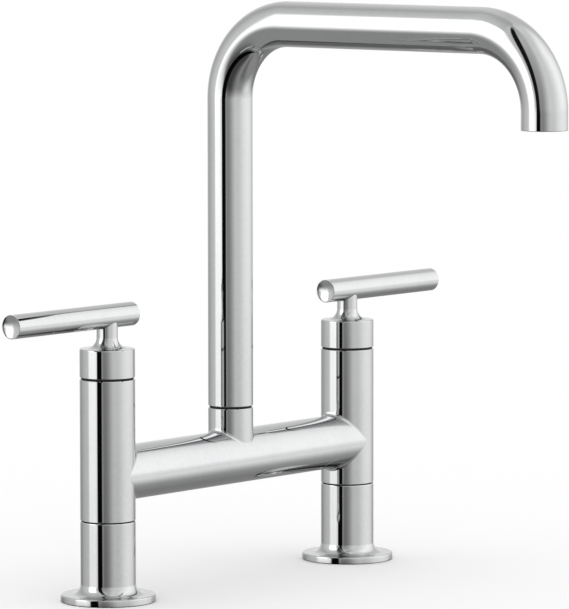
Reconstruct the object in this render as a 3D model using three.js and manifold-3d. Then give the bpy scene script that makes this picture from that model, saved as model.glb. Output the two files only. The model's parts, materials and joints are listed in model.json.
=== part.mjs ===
// Bridge kitchen faucet: two deck valves with lever handles, joined by a bridge tube that carries
// a square-cornered swivel spout. Millimetres, +Z up. X runs along the bridge (cold valve at +X),
// -Y points to the user, and the origin lies on the deck midway between the two valves.

import * as THREE from 'three';
import { mergeVertices } from 'three/addons/utils/BufferGeometryUtils.js';
import Module from 'manifold-3d';

const wasm = await Module();
wasm.setup();

// ---------------------------------------------------------------- driving dimensions

const valveSpacing = 203.2; // between the centres of the two deck holes

// Spout: one bent tube
const spoutDiameter = 24.6;
const spoutWall = 1.5;
const spoutReach = 212.7; // from the swivel axis to the outlet's axis
const riserLength = 167.65; // straight part above the swivel seam
const bendRadius = 41.3; // of the tube's centre line, the same at both corners
const outletLength = 9.45; // straight part below the second bend

// Columns and bridge
const columnMargin = 4.9; // how much wider the columns are than the spout tube
const bridgeStep = 0.1; // how much slimmer the bridge tube is than the columns
const bridgeWall = 2.0;
const bridgeLift = 9.4; // from the valve body's lower end to the bridge's underside
const bodyAboveBridge = 36.9; // from the bridge's top to the valve body's upper end
const socketHeight = 12.8; // spout socket above the bridge's top
const spoutSeam = 1.0; // open seam between the socket and the spout
const teeFilletRadius = 2.0; // where one tube grows out of another
const valveWall = 3.5;
const seatWeb = 3.0; // floor that the cartridge seals on
const seatPortRadius = 5.0;

// Deck base: foot flange and lower column
const flangeMargin = 21.3; // how much wider the flange is than the column
const flangeThickness = 3.9;
const flangeFilletRadius = 5.5;
const flangeEdgeRadius = 0.8;
const deckBaseHeight = 43.1;
const columnSeam = 0.3; // hairline seam between the deck base and the valve body
const seamChamfer = 0.4;
const shoulderChamfer = 0.7; // under the open seams, on the valve bodies and the spout socket
const gasketThickness = 0.9;
const gasketWidth = 7.0;
const gasketRimWidth = 3.4; // bare metal outside the gasket's recess

// Mounting hardware under the deck
const deckThickness = 30.0;
const shankDiameter = 20.6;
const shankWall = 3.6;
const shankThreadDepth = 7.7; // how far the shank screws into the valve body
const shankClearance = 0.7; // round the shank, in what it only passes through
const shankBelowNut = 14.0; // thread left for the supply hose
const rubberWasherThickness = 3.0;
const rubberWasherWidth = 9.0;
const metalWasherThickness = 2.0;
const metalWasherWidth = 10.0;
const nutHeight = 9.0;
const nutWallWidth = 5.5; // from the shank's thread to the nut's flats
const nutFlangeHeight = 2.0;
const nutFlangeMargin = 2.5;

// Handle: cap, trumpet neck and lever bar
const handleGap = 1.0; // open gap under the cap
const hubHeight = 15.2;
const hubWall = 3.0;
const hubSkirtDepth = 3.5;
const hubEdgeRadius = 0.6;
const neckDiameter = 11.3;
const neckLength = 10.7; // from the cap's top to the bar's underside
const neckFilletRadius = 6.0;
const neckSpigotDiameter = 6.4; // enters the bar
const barDiameter = 12.8;
const barLongEnd = 75.3; // from the handle's axis
const barShortEnd = 19.3;
const barEdgeRadius = 0.3;
const barRimWidth = 0.2;
const barDishDepth = 1.2;
const handleScrewDiameter = 5.0;
const handleScrewRise = 8.5; // above the cap's lower edge

// Valve cartridge
const cartridgeWall = 2.4;
const discThickness = 3.0;
const sealThickness = 2.0;
const sealWidth = 2.6;
const discPortRadius = 2.2;
const stemDiameter = 10.0;
const stemFootThickness = 3.0;
const stemInHub = 11.0; // how far the stem stands up inside the cap
const splineTeeth = 12;
const splineDepth = 0.5;
const splineLength = 7.0;
const collarWall = 2.6; // of the cartridge body's slim upper end
const collarHeight = 12.0;
const bonnetNutHeight = 17.5;
const bonnetNutRecess = 3.0; // below the valve body's upper end
const bonnetHexHeight = 5.0;
const sideWindowHeight = 5.0;
const sideWindowWidth = 9.0;

// Spout swivel
const spigotWall = 2.6;
const spigotInTube = 15.0;
const spigotBelowSeam = 15.5;
const ringSection = 1.5; // thickness of every O-ring, squeezed flush with its groove's mouth
const ringGrooveGap = 0.1; // under each O-ring
const ringSpacing = 4.2;
const ringRise = 3.0; // lower ring above the spigot's end
const spoutScrewDiameter = 4.0;
const spoutScrewDrop = 3.8; // below the socket's upper end
const screwSocketShare = 0.55; // hex socket's width over the screw's width
const screwSocketDepth = 2.0;
const screwSink = 0.5; // outer end below the surface

// Aerator
const aeratorRecess = 0.8;
const aeratorHousingHeight = 6.0;
const aeratorWall = 1.9;
const aeratorLipWidth = 1.0;
const aeratorLipHeight = 1.2;
const screenThickness = 1.2;
const screenHoleDiameter = 2.2;
const screenHolePitch = 3.1;
const screenHoleRings = 2;
const aeratorWasherThickness = 1.2;

// Clearances and edges
const glideGap = 0.25; // above and below each glide ring
const glideInset = 0.8; // from the outer face of the seam to the glide ring in it
const seatGap = 0.3; // between two pieces that touch
const turningGap = 0.35; // radial, between a turning piece and its bore
const embed = 0.5; // how deep a joined piece's foot reaches into the other

// Roundness
const columnSides = 24; // also of the bridge, the socket and their fillets
const tubeSides = 22;
const innerSides = 16; // of every bore, and of what fits in one
const ringSectionSides = 6;
const bendSteps = 6;
const filletSteps = 3;

// ---------------------------------------------------------------- derived sizes and levels

const spoutRadius = spoutDiameter / 2;
const spoutBoreRadius = spoutRadius - spoutWall;
const columnRadius = (spoutDiameter + columnMargin) / 2;
const bridgeRadius = columnRadius - bridgeStep / 2;
const bridgeBoreRadius = bridgeRadius - bridgeWall;
const flangeRadius = columnRadius + flangeMargin / 2;
const halfSpacing = valveSpacing / 2;

const bodyBottom = deckBaseHeight + columnSeam;
const bridgeAxis = bodyBottom + bridgeLift + bridgeRadius;
const bridgeTop = bridgeAxis + bridgeRadius;
const bodyTop = bridgeTop + bodyAboveBridge;
const socketTop = bridgeTop + socketHeight;
const spoutBottom = socketTop + spoutSeam;
const bendStart = spoutBottom + riserLength;
const runAxis = bendStart + bendRadius;
const outletBottom = bendStart - outletLength;

const shankRadius = shankDiameter / 2;
const shankHoleRadius = shankRadius + shankClearance;
const shankTop = bodyBottom + shankThreadDepth;
const seatBottom = shankTop + seatGap;
const seatTop = seatBottom + seatWeb;
const rubberWasherTop = -deckThickness;
const metalWasherTop = rubberWasherTop - rubberWasherThickness - seatGap;
const nutTop = metalWasherTop - metalWasherThickness - seatGap;
const shankBottom = nutTop - nutHeight - shankBelowNut;

const chamberRadius = columnRadius - valveWall;
const cartridgeRadius = chamberRadius - seatGap;
const discCavityRadius = cartridgeRadius - cartridgeWall;
const discRadius = discCavityRadius - seatGap;
const stemRadius = stemDiameter / 2;
const stemBoreRadius = stemRadius + turningGap;
const cartridgeBottom = seatTop + seatGap;
const fixedDiscBottom = cartridgeBottom + sealThickness + seatGap;
const turningDiscBottom = fixedDiscBottom + discThickness + seatGap;
const stemBottom = turningDiscBottom + discThickness + seatGap;
const stemFootTop = stemBottom + stemFootThickness;
const discCavityTop = stemFootTop + seatGap;
const bonnetTop = bodyTop - bonnetNutRecess;
const bonnetBottom = bonnetTop - bonnetNutHeight;
const cartridgeShoulder = bonnetBottom - seatGap;
const collarRadius = stemBoreRadius + collarWall;

const hubBottom = bodyTop + handleGap;
const hubTop = hubBottom + hubHeight;
const stemTop = hubBottom + stemInHub;
const neckRadius = neckDiameter / 2;
const barRadius = barDiameter / 2;
const barAxis = hubTop + neckLength + barRadius;

const spigotRadius = spoutBoreRadius - seatGap - turningGap;
const socketBoreRadius = spigotRadius + turningGap;
const spigotBottom = socketTop - spigotBelowSeam;
const retainingGroove = socketTop - spoutScrewDrop;

// ---------------------------------------------------------------- materials

const chrome = new THREE.MeshStandardMaterial({ color: 0xdfe1e4, roughness: 0.04, metalness: 1 });
const brass = new THREE.MeshStandardMaterial({ color: 0xc79a4b, roughness: 0.3, metalness: 1 });
const steel = new THREE.MeshStandardMaterial({ color: 0xa9abad, roughness: 0.35, metalness: 1 });
const ceramic = new THREE.MeshStandardMaterial({ color: 0xece9e2, roughness: 0.25, metalness: 0 });
const rubber = new THREE.MeshStandardMaterial({ color: 0x161616, roughness: 0.8, metalness: 0 });
const acetal = new THREE.MeshStandardMaterial({ color: 0x1f2022, roughness: 0.5, metalness: 0 });

// ---------------------------------------------------------------- shape helpers

// A closed three.js geometry as a solid that can be joined and cut.
function solidOf(geometry) {
  const bare = geometry.clone();
  bare.deleteAttribute('normal');
  bare.deleteAttribute('uv');
  const merged = mergeVertices(bare, 1e-5);
  const corners = merged.index.array;
  const triangles = [];
  for (let i = 0; i < corners.length; i += 3) {
    const [a, b, c] = [corners[i], corners[i + 1], corners[i + 2]];
    if (a !== b && b !== c && c !== a) {
      triangles.push(a, b, c);
    }
  }
  return new wasm.Manifold(new wasm.Mesh({
    numProp: 3,
    vertProperties: Float32Array.from(merged.attributes.position.array),
    triVerts: Uint32Array.from(triangles),
  }));
}

function geometryOf(solid) {
  const { vertProperties, triVerts } = solid.getMesh();
  const indexed = new THREE.BufferGeometry();
  indexed.setAttribute('position', new THREE.BufferAttribute(vertProperties, 3));
  indexed.setIndex(new THREE.BufferAttribute(triVerts, 1));
  const faceted = indexed.toNonIndexed();
  faceted.computeVertexNormals();
  return faceted;
}

// A body turned about +Z. The profile is a loop of [radius, height] corners that goes out along
// the bottom, up the outside, in along the top and down the inside.
function turned(profile, sides = innerSides) {
  const corners = profile.map(([radius, height]) => new THREE.Vector2(radius, height));
  corners.push(corners[0].clone());
  const geometry = new THREE.LatheGeometry(corners, sides);
  geometry.rotateX(Math.PI / 2);
  return solidOf(geometry);
}

function ring(inner, outer, bottom, top, sides = innerSides) {
  return turned([[inner, bottom], [outer, bottom], [outer, top], [inner, top]], sides);
}

function rod(radius, bottom, top, sides = innerSides) {
  return turned([[0, bottom], [radius, bottom], [radius, top], [0, top]], sides);
}

// Corners along a circular arc, ends included, for a turned profile. Angles in degrees.
function arc(centreRadius, centreHeight, radius, from, to, steps = filletSteps) {
  return Array.from({ length: steps + 1 }, (_, i) => {
    const angle = THREE.MathUtils.degToRad(from + ((to - from) * i) / steps);
    return [centreRadius + radius * Math.cos(angle), centreHeight + radius * Math.sin(angle)];
  });
}

function placed(geometry, { x = 0, y = 0, z = 0, turnX = 0, turnY = 0, turnZ = 0 }) {
  const matrix = new THREE.Matrix4().makeRotationFromEuler(new THREE.Euler(turnX, turnY, turnZ));
  matrix.setPosition(x, y, z);
  return geometry.clone().applyMatrix4(matrix);
}

function moved(solid, place) {
  return solidOf(placed(geometryOf(solid), place));
}

function block(width, depth, height, place) {
  return solidOf(placed(new THREE.BoxGeometry(width, depth, height), place));
}

// A regular prism along +Z, by its width across flats.
function prism(corners, acrossFlats, bottom, top) {
  return rod(acrossFlats / 2 / Math.cos(Math.PI / corners), bottom, top, corners);
}

// An O-ring in a groove, by the radius of the turned piece that carries it.
function oRing(carrierRadius, height) {
  const section = ringSection / 2;
  const geometry = new THREE.TorusGeometry(carrierRadius - section, section, ringSectionSides, innerSides);
  return solidOf(placed(geometry, { z: height }));
}

// Plastic ring that a turning piece slides on, inside the open seam under that piece.
function glideRing(boreRadius, outerRadius, seamBottom, seamHeight) {
  const top = seamBottom + seamHeight - glideGap;
  return ring(boreRadius, outerRadius - glideInset, seamBottom + glideGap, top);
}

// Closed band whose cross-sections are equal loops of points, joined round into one ring.
function closedBand(sections) {
  const around = sections.length;
  const perSection = sections[0].length;
  const index = [];
  for (let i = 0; i < around; i += 1) {
    for (let j = 0; j < perSection; j += 1) {
      const a = i * perSection + j;
      const b = i * perSection + ((j + 1) % perSection);
      const c = ((i + 1) % around) * perSection + ((j + 1) % perSection);
      const d = ((i + 1) % around) * perSection + j;
      index.push(a, c, b, a, d, c);
    }
  }
  const geometry = new THREE.BufferGeometry();
  geometry.setFromPoints(sections.flat());
  geometry.setIndex(index);
  return geometry;
}

// The fillet where a branch tube along +Z stands on a main tube along X. A ball of the fillet's
// radius rolls round the corner: its centre keeps the same distance from both tubes, and the
// band follows the ball from where it touches the main tube to where it touches the branch.
function teeFillet(branchRadius, mainRadius) {
  const branchReach = branchRadius + teeFilletRadius;
  const mainReach = mainRadius + teeFilletRadius;
  const sections = [];
  for (let i = 0; i < columnSides; i += 1) {
    const turn = (2 * Math.PI * i) / columnSides;
    const outward = new THREE.Vector3(Math.cos(turn), Math.sin(turn), 0);
    const ball = outward.clone().multiplyScalar(branchReach);
    ball.z = Math.sqrt(mainReach ** 2 - ball.y ** 2);
    const mainNormal = new THREE.Vector3(0, ball.y, ball.z).divideScalar(mainReach);
    const section = [ball.clone().addScaledVector(mainNormal, -teeFilletRadius - embed)];
    const opening = Math.acos(mainNormal.dot(outward));
    for (let step = 0; step <= filletSteps; step += 1) {
      const share = step / filletSteps;
      const direction = mainNormal.clone().multiplyScalar(Math.sin((1 - share) * opening));
      direction.addScaledVector(outward, Math.sin(share * opening)).normalize();
      section.push(ball.clone().addScaledVector(direction, -teeFilletRadius));
    }
    section.push(ball.clone().addScaledVector(outward, -teeFilletRadius - embed));
    const inner = outward.clone().multiplyScalar(branchRadius - embed);
    inner.z = Math.sqrt((mainRadius - embed) ** 2 - inner.y ** 2);
    section.push(inner);
    sections.push(section);
  }
  return closedBand(sections);
}

function addPiece(group, name, solid, material) {
  const mesh = new THREE.Mesh(geometryOf(solid), material);
  mesh.name = name;
  group.add(mesh);
}

// ---------------------------------------------------------------- deck base and mounting

function deckBase() {
  const fillet = Math.min(flangeFilletRadius, flangeRadius - columnRadius - flangeEdgeRadius);
  const rimInner = flangeRadius - gasketRimWidth;
  const recessInner = rimInner - gasketWidth - 2 * seatGap;
  const recessTop = gasketThickness + seatGap;
  return turned([
    [shankHoleRadius, 0],
    [recessInner, 0],
    [recessInner, recessTop],
    [rimInner, recessTop],
    [rimInner, 0],
    [flangeRadius - flangeEdgeRadius / 2, 0],
    [flangeRadius, flangeEdgeRadius / 2],
    ...arc(flangeRadius - flangeEdgeRadius, flangeThickness - flangeEdgeRadius, flangeEdgeRadius, 0, 90, 2),
    ...arc(columnRadius + fillet, flangeThickness + fillet, fillet, 270, 180),
    [columnRadius, deckBaseHeight - seamChamfer],
    [columnRadius - seamChamfer, deckBaseHeight],
    [shankHoleRadius, deckBaseHeight],
  ], columnSides);
}

function flangeGasket() {
  const outer = flangeRadius - gasketRimWidth - seatGap;
  return ring(outer - gasketWidth, outer, 0, gasketThickness);
}

function mountingShank() {
  const chamfer = seamChamfer * 2;
  return turned([
    [shankRadius - shankWall, shankBottom],
    [shankRadius - chamfer, shankBottom],
    [shankRadius, shankBottom + chamfer],
    [shankRadius, shankTop],
    [shankRadius - shankWall, shankTop],
  ]);
}

function mountingNut() {
  const threadRadius = shankRadius + seatGap;
  const flats = 2 * (threadRadius + nutWallWidth);
  const nutBottom = nutTop - nutHeight;
  const hexagon = prism(6, flats, nutBottom, nutTop);
  const foot = rod(flats / 2 + nutFlangeMargin, nutTop - nutFlangeHeight, nutTop);
  return hexagon.add(foot).subtract(rod(threadRadius, nutBottom - embed, nutTop + embed));
}

function addMounting(group, side) {
  const washerHole = shankHoleRadius;
  addPiece(group, `${side}_deck_base`, deckBase(), chrome);
  addPiece(group, `${side}_flange_gasket`, flangeGasket(), rubber);
  addPiece(group, `${side}_mounting_shank`, mountingShank(), brass);
  const rubberBottom = rubberWasherTop - rubberWasherThickness;
  const rubberWasher = ring(washerHole, washerHole + rubberWasherWidth, rubberBottom, rubberWasherTop);
  addPiece(group, `${side}_rubber_washer`, rubberWasher, rubber);
  const metalBottom = metalWasherTop - metalWasherThickness;
  const metalWasher = ring(washerHole, washerHole + metalWasherWidth, metalBottom, metalWasherTop);
  addPiece(group, `${side}_metal_washer`, metalWasher, steel);
  addPiece(group, `${side}_mounting_nut`, mountingNut(), brass);
}

// ---------------------------------------------------------------- valve bodies and bridge

// One upright valve body, without its bores.
function valveBody() {
  return turned([
    [0, bodyBottom],
    [columnRadius - seamChamfer, bodyBottom],
    [columnRadius, bodyBottom + seamChamfer],
    [columnRadius, bodyTop - shoulderChamfer],
    [columnRadius - shoulderChamfer, bodyTop],
    [0, bodyTop],
  ], columnSides);
}

function valveBores() {
  return turned([
    [0, bodyBottom - embed],
    [shankRadius + seatGap, bodyBottom - embed],
    [shankRadius + seatGap, seatBottom],
    [seatPortRadius, seatBottom],
    [seatPortRadius, seatTop],
    [chamberRadius, seatTop],
    [chamberRadius, bodyTop + embed],
    [0, bodyTop + embed],
  ]);
}

// The brazed body: both valve bodies, the bridge tube, the spout socket and the three fillets.
function bridgeBody() {
  const alongX = { z: bridgeAxis, turnY: Math.PI / 2 };
  const leftTee = { x: -halfSpacing, z: bridgeAxis, turnY: Math.PI / 2 };
  const rightTee = { x: halfSpacing, z: bridgeAxis, turnY: -Math.PI / 2 };
  const columnTee = teeFillet(bridgeRadius, columnRadius);
  const socketTee = teeFillet(spoutRadius, bridgeRadius);
  const socket = turned([
    [0, bridgeAxis],
    [spoutRadius, bridgeAxis],
    [spoutRadius, socketTop - shoulderChamfer],
    [spoutRadius - shoulderChamfer, socketTop],
    [0, socketTop],
  ], columnSides);
  const boreEnd = halfSpacing - chamberRadius / 2;
  const screwHole = rod(spoutScrewDiameter / 2 + seatGap, socketBoreRadius / 2, spoutRadius + embed, 12);
  return moved(rod(bridgeRadius, -halfSpacing, halfSpacing, columnSides), alongX)
    .add(moved(valveBody(), { x: -halfSpacing }))
    .add(moved(valveBody(), { x: halfSpacing }))
    .add(socket)
    .add(solidOf(placed(columnTee, leftTee)))
    .add(solidOf(placed(columnTee, rightTee)))
    .add(solidOf(placed(socketTee, { z: bridgeAxis })))
    .subtract(moved(rod(bridgeBoreRadius, -boreEnd, boreEnd), alongX))
    .subtract(moved(valveBores(), { x: -halfSpacing }))
    .subtract(moved(valveBores(), { x: halfSpacing }))
    .subtract(rod(socketBoreRadius, bridgeAxis, socketTop + embed))
    .subtract(moved(screwHole, { z: retainingGroove, turnX: -Math.PI / 2 }));
}

// ---------------------------------------------------------------- valve cartridge

function cartridgeBody() {
  const shell = turned([
    [discCavityRadius, cartridgeBottom],
    [cartridgeRadius, cartridgeBottom],
    [cartridgeRadius, cartridgeShoulder],
    [collarRadius, cartridgeShoulder],
    [collarRadius, cartridgeShoulder + collarHeight],
    [stemBoreRadius, cartridgeShoulder + collarHeight],
    [stemBoreRadius, discCavityTop],
    [discCavityRadius, discCavityTop],
  ]);
  const windowMiddle = turningDiscBottom + sideWindowHeight / 2;
  return shell.subtract(block(3 * cartridgeRadius, sideWindowWidth, sideWindowHeight, { z: windowMiddle }));
}

// Both ceramic discs have two round ports. They line up when the handle is open.
function ceramicDisc(bottom, portTurn) {
  const top = bottom + discThickness;
  const portDistance = discRadius / 2;
  let disc = rod(discRadius, bottom, top);
  for (const turn of [portTurn, portTurn + Math.PI]) {
    const place = { x: portDistance * Math.cos(turn), y: portDistance * Math.sin(turn) };
    disc = disc.subtract(moved(rod(discPortRadius, bottom - embed, top + embed, 12), place));
  }
  return disc;
}

function bonnetNut() {
  const threadRadius = collarRadius + seatGap;
  const hexBottom = bonnetTop - bonnetHexHeight;
  const hexFlats = 2 * cartridgeRadius * Math.cos(Math.PI / 6);
  const threaded = rod(cartridgeRadius, bonnetBottom, hexBottom);
  const hexagon = prism(6, hexFlats, hexBottom - embed, bonnetTop);
  return threaded.add(hexagon).subtract(rod(threadRadius, bonnetBottom - embed, bonnetTop + embed));
}

const stemGrooveRadius = stemRadius - ringSection - ringGrooveGap;
const stemRingHeight = cartridgeShoulder - ringSection;

function cartridgeStem() {
  const grooveHalf = ringSection / 2 + seatGap;
  const splineBottom = stemTop - splineLength;
  const shaft = turned([
    [0, stemBottom],
    [discRadius, stemBottom],
    [discRadius, stemFootTop],
    [stemRadius, stemFootTop],
    [stemRadius, stemRingHeight - grooveHalf],
    [stemGrooveRadius, stemRingHeight - grooveHalf],
    [stemGrooveRadius, stemRingHeight + grooveHalf],
    [stemRadius, stemRingHeight + grooveHalf],
    [stemRadius, splineBottom],
    [0, splineBottom],
  ]);
  const outline = new THREE.Shape(Array.from({ length: 2 * splineTeeth }, (_, i) => {
    const radius = i % 2 ? stemRadius - splineDepth : stemRadius;
    const turn = (Math.PI * i) / splineTeeth;
    return new THREE.Vector2(radius * Math.cos(turn), radius * Math.sin(turn));
  }));
  const depth = splineLength + embed;
  const spline = new THREE.ExtrudeGeometry(outline, { depth, bevelEnabled: false });
  return shaft.add(solidOf(placed(spline, { z: splineBottom - embed })));
}

function addCartridge(group, side) {
  addPiece(group, `${side}_cartridge_body`, cartridgeBody(), brass);
  addPiece(group, `${side}_fixed_disc`, ceramicDisc(fixedDiscBottom, 0), ceramic);
  const sealBottom = cartridgeBottom;
  const seal = ring(discRadius - sealWidth, discRadius, sealBottom, sealBottom + sealThickness);
  addPiece(group, `${side}_seat_seal`, seal, rubber);
  addPiece(group, `${side}_bonnet_nut`, bonnetNut(), brass);
  addPiece(group, `${side}_rotating_disc`, ceramicDisc(turningDiscBottom, Math.PI / 2), ceramic);
  addPiece(group, `${side}_cartridge_stem`, cartridgeStem(), brass);
  addPiece(group, `${side}_stem_oring`, oRing(stemRadius, stemRingHeight), rubber);
}

// ---------------------------------------------------------------- handle

function handleHub() {
  const skirtRadius = columnRadius - hubWall;
  const skirtTop = hubBottom + hubSkirtDepth;
  const stemHoleTop = stemTop + seatGap;
  const fillet = Math.min(neckFilletRadius, columnRadius - neckRadius - hubEdgeRadius);
  const spigotTop = barAxis + barRadius / 4;
  const cap = turned([
    [skirtRadius, hubBottom],
    [columnRadius - seamChamfer, hubBottom],
    [columnRadius, hubBottom + seamChamfer],
    ...arc(columnRadius - hubEdgeRadius, hubTop - hubEdgeRadius, hubEdgeRadius, 0, 90, 2),
    ...arc(neckRadius + fillet, hubTop + fillet, fillet, 270, 180),
    [neckRadius, barAxis],
    [0, barAxis],
    [0, stemHoleTop],
    [stemBoreRadius, stemHoleTop],
    [stemBoreRadius, skirtTop],
    [skirtRadius, skirtTop],
  ], columnSides);
  const barSpace = moved(rod(barRadius + seatGap, -columnRadius, columnRadius), {
    z: barAxis,
    turnY: Math.PI / 2,
  });
  const screwHole = rod(handleScrewDiameter / 2 + seatGap, 0, columnRadius + embed, 12);
  return cap
    .subtract(barSpace)
    .add(rod(neckSpigotDiameter / 2, hubTop, spigotTop, 16))
    .subtract(rod(stemBoreRadius, skirtTop, stemHoleTop))
    .subtract(moved(screwHole, { z: hubBottom + handleScrewRise, turnX: -Math.PI / 2 }));
}

// The lever bar lies along X, with its long end towards +X when pointing is 1.
function handleBar(pointing) {
  const rimInner = barRadius - barEdgeRadius - barRimWidth;
  const dishRadius = (rimInner ** 2 + barDishDepth ** 2) / (2 * barDishDepth);
  const dishAngle = THREE.MathUtils.radToDeg(Math.asin(rimInner / dishRadius));
  const low = -barShortEnd;
  const high = barLongEnd;
  const lowDish = arc(0, low + barDishDepth - dishRadius, dishRadius, 90, 90 - dishAngle, 3);
  const highDish = arc(0, high - barDishDepth + dishRadius, dishRadius, 270 + dishAngle, 270, 3);
  const bar = turned([
    ...lowDish,
    ...arc(barRadius - barEdgeRadius, low + barEdgeRadius, barEdgeRadius, 270, 360, 2),
    ...arc(barRadius - barEdgeRadius, high - barEdgeRadius, barEdgeRadius, 0, 90, 2),
    ...highDish,
  ], tubeSides);
  const spigotHoleTop = barRadius / 4 + seatGap;
  const spigotHole = rod(neckSpigotDiameter / 2 + seatGap, -barRadius - embed, spigotHoleTop, 16);
  return moved(bar, { z: barAxis, turnY: (pointing * Math.PI) / 2 })
    .subtract(moved(spigotHole, { z: barAxis }));
}

// Grub screw along +Z from its tip, with a hexagon socket in its outer end.
function grubScrew(diameter, tip, end) {
  const hexagon = prism(6, diameter * screwSocketShare, end - screwSocketDepth, end + embed);
  return rod(diameter / 2, tip, end, 12).subtract(hexagon);
}

function addHandle(group, side, pointing) {
  addPiece(group, `${side}_handle_hub`, handleHub(), chrome);
  addPiece(group, `${side}_handle_bar`, handleBar(pointing), chrome);
  const screw = grubScrew(handleScrewDiameter, stemRadius + seatGap, columnRadius - screwSink);
  const place = { z: hubBottom + handleScrewRise, turnX: -Math.PI / 2 };
  addPiece(group, `${side}_handle_set_screw`, moved(screw, place), steel);
  const glide = glideRing(chamberRadius, columnRadius, bodyTop, handleGap);
  addPiece(group, `${side}_handle_glide_ring`, glide, acetal);
}

// ---------------------------------------------------------------- spout

// The tube's centre line: up the riser, round two equal corners and down to the outlet. Its
// stations are one at each end of a straight and one at each step of a bend.
class SpoutLine extends THREE.Curve {
  constructor() {
    super();
    this.stations = [{ point: new THREE.Vector3(0, 0, spoutBottom), lean: 0 }];
    this.addBend(new THREE.Vector3(0, -bendRadius, bendStart), 0);
    this.addBend(new THREE.Vector3(0, bendRadius - spoutReach, bendStart), Math.PI / 2);
    this.stations.push({ point: new THREE.Vector3(0, -spoutReach, outletBottom), lean: Math.PI });
  }

  // A quarter bend about a centre. The lean is the tube's tilt from upright towards the user.
  addBend(centre, startLean) {
    for (let step = 0; step <= bendSteps; step += 1) {
      const lean = startLean + ((Math.PI / 2) * step) / bendSteps;
      const spoke = new THREE.Vector3(0, Math.cos(lean), Math.sin(lean));
      this.stations.push({ point: centre.clone().addScaledVector(spoke, bendRadius), lean });
    }
  }

  get steps() {
    return this.stations.length - 1;
  }

  stationAt(share) {
    return this.stations[Math.round(share * this.steps)];
  }

  getPointAt(share, target = new THREE.Vector3()) {
    return target.copy(this.stationAt(share).point);
  }

  getTangentAt(share, target = new THREE.Vector3()) {
    const { lean } = this.stationAt(share);
    return target.set(0, -Math.sin(lean), Math.cos(lean));
  }
}

function circlePoints(radius, sides) {
  return Array.from({ length: sides }, (_, i) => {
    const turn = (2 * Math.PI * i) / sides;
    return new THREE.Vector2(radius * Math.cos(turn), radius * Math.sin(turn));
  });
}

function spoutTube() {
  const line = new SpoutLine();
  const section = new THREE.Shape(circlePoints(spoutRadius, tubeSides));
  section.holes.push(new THREE.Path(circlePoints(spoutBoreRadius, innerSides)));
  const options = { extrudePath: line, steps: line.steps, bevelEnabled: false };
  return solidOf(new THREE.ExtrudeGeometry(section, options));
}

const spigotGrooveRadius = spigotRadius - ringSection - ringGrooveGap;
const lowerRingHeight = spigotBottom + ringRise;
const upperRingHeight = lowerRingHeight + ringSpacing;

// Turned bush, brazed into the tube's lower end: two seal grooves and the retaining groove.
function spoutSpigot() {
  const sealHalf = ringSection / 2 + seatGap;
  const screwHalf = spoutScrewDiameter / 2 + seatGap;
  const grooves = [
    { middle: lowerRingHeight, half: sealHalf },
    { middle: upperRingHeight, half: sealHalf },
    { middle: retainingGroove, half: screwHalf },
  ];
  const grooveCorners = grooves.flatMap(({ middle, half }) => [
    [spigotRadius, middle - half],
    [spigotGrooveRadius, middle - half],
    [spigotGrooveRadius, middle + half],
    [spigotRadius, middle + half],
  ]);
  return turned([
    [spigotRadius - spigotWall, spigotBottom],
    [spigotRadius, spigotBottom],
    ...grooveCorners,
    [spigotRadius, spoutBottom],
    [spoutBoreRadius - seatGap, spoutBottom],
    [spoutBoreRadius - seatGap, spoutBottom + spigotInTube],
    [spigotRadius - spigotWall, spoutBottom + spigotInTube],
  ]);
}

function aeratorHousing() {
  const outer = spoutBoreRadius - seatGap;
  const bottom = outletBottom + aeratorRecess;
  return turned([
    [outer - aeratorWall - aeratorLipWidth, bottom],
    [outer, bottom],
    [outer, bottom + aeratorHousingHeight],
    [outer - aeratorWall, bottom + aeratorHousingHeight],
    [outer - aeratorWall, bottom + aeratorLipHeight],
    [outer - aeratorWall - aeratorLipWidth, bottom + aeratorLipHeight],
  ]);
}

// Perforated plate with its round holes in hexagonal rings.
function aeratorScreen() {
  const radius = spoutBoreRadius - 2 * seatGap - aeratorWall;
  const bottom = outletBottom + aeratorRecess + aeratorLipHeight + seatGap;
  const top = bottom + screenThickness;
  let plate = rod(radius, bottom, top);
  for (let row = -screenHoleRings; row <= screenHoleRings; row += 1) {
    const inRow = 2 * screenHoleRings + 1 - Math.abs(row);
    for (let i = 0; i < inRow; i += 1) {
      const x = (i - (inRow - 1) / 2) * screenHolePitch;
      const y = row * screenHolePitch * Math.sin(Math.PI / 3);
      const hole = rod(screenHoleDiameter / 2, bottom - embed, top + embed, 6);
      plate = plate.subtract(moved(hole, { x, y }));
    }
  }
  return plate;
}

function aeratorWasher() {
  const outer = spoutBoreRadius - seatGap;
  const bottom = outletBottom + aeratorRecess + aeratorHousingHeight + seatGap;
  return ring(outer - aeratorWall, outer, bottom, bottom + aeratorWasherThickness);
}

function addSpout(group) {
  addPiece(group, 'spout_tube', spoutTube(), chrome);
  addPiece(group, 'spout_spigot', spoutSpigot(), brass);
  addPiece(group, 'spout_oring_lower', oRing(spigotRadius, lowerRingHeight), rubber);
  addPiece(group, 'spout_oring_upper', oRing(spigotRadius, upperRingHeight), rubber);
  const glide = glideRing(socketBoreRadius, spoutRadius, socketTop, spoutSeam);
  addPiece(group, 'spout_glide_ring', glide, acetal);
  const outlet = new THREE.Group();
  outlet.position.y = -spoutReach;
  addPiece(outlet, 'aerator_housing', aeratorHousing(), acetal);
  addPiece(outlet, 'aerator_screen', aeratorScreen(), steel);
  addPiece(outlet, 'aerator_washer', aeratorWasher(), rubber);
  group.add(outlet);
}

// ---------------------------------------------------------------- assembly

const faucet = new THREE.Group();

for (const [side, pointing] of [['left', -1], ['right', 1]]) {
  const valve = new THREE.Group();
  valve.position.x = pointing * halfSpacing;
  addMounting(valve, side);
  addCartridge(valve, side);
  addHandle(valve, side, pointing);
  faucet.add(valve);
}

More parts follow.
